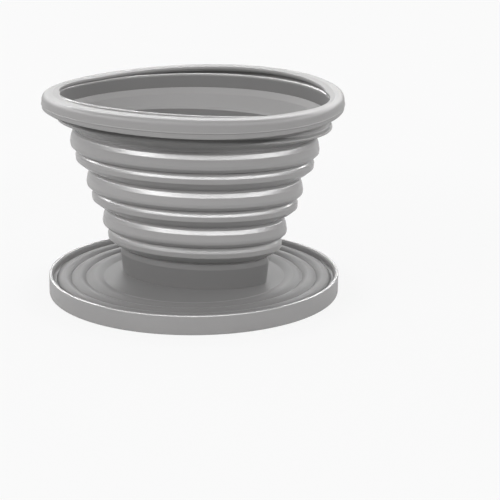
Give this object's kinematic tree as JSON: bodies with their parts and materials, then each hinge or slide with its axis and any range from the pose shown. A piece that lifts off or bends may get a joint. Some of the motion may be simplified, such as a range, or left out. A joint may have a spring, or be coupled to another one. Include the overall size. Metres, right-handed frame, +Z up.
{
  "type": "collapsible pour-over dripper",
  "caption": "Soft silicone pour-over dripper: a stepped oval cone with a round rim folds flat over a rippled saucer that sits on a mug.",
  "frame": {"origin": "centre of the saucer's foot, on the surface the dripper stands on", "axes": "+Z up along the cone, +X along the long axis of the oval, towards one closed end of the rim; the finger slots face +Y and -Y"},
  "size_m": [0.1214, 0.1214, 0.0834],
  "materials": {
    "silicone": "matte grey silicone with a faint sheen",
    "web_silicone": "matte grey silicone, thin and flexible",
    "hoop": "moulded nylon, hidden inside the rim"
  },
  "bodies": {
    "base": {"saucer_skirt": "silicone", "saucer_deck": "silicone", "neck": "silicone", "drip_floor": "silicone", "web_foot": "web_silicone"},
    "bottom_band": {"band_bottom": "silicone", "web_lower": "web_silicone"},
    "middle_band": {"band_middle": "silicone", "web_upper": "web_silicone"},
    "top_band": {"band_top": "silicone", "web_top_fold": "web_silicone"},
    "rim": {"mouth_collar": "silicone", "rim_flange": "silicone", "rim_skirt": "silicone", "rim_hoop": "hoop"}
  },
  "joints": [
    {"name": "fold_foot", "type": "slide", "parent": "base", "child": "bottom_band", "axis": [0, 0, -1], "range_m": [0, 0.0167], "deforming": ["web_foot"]},
    {"name": "fold_lower", "type": "slide", "parent": "bottom_band", "child": "middle_band", "axis": [0, 0, -1], "range_m": [0, 0.0167], "deforming": ["web_lower"]},
    {"name": "fold_upper", "type": "slide", "parent": "middle_band", "child": "top_band", "axis": [0, 0, -1], "range_m": [0, 0.0167], "deforming": ["web_upper"]},
    {"name": "fold_top", "type": "slide", "parent": "top_band", "child": "rim", "axis": [0, 0, -1], "range_m": [0, 0.0167], "deforming": ["web_top_fold"]}
  ]
}
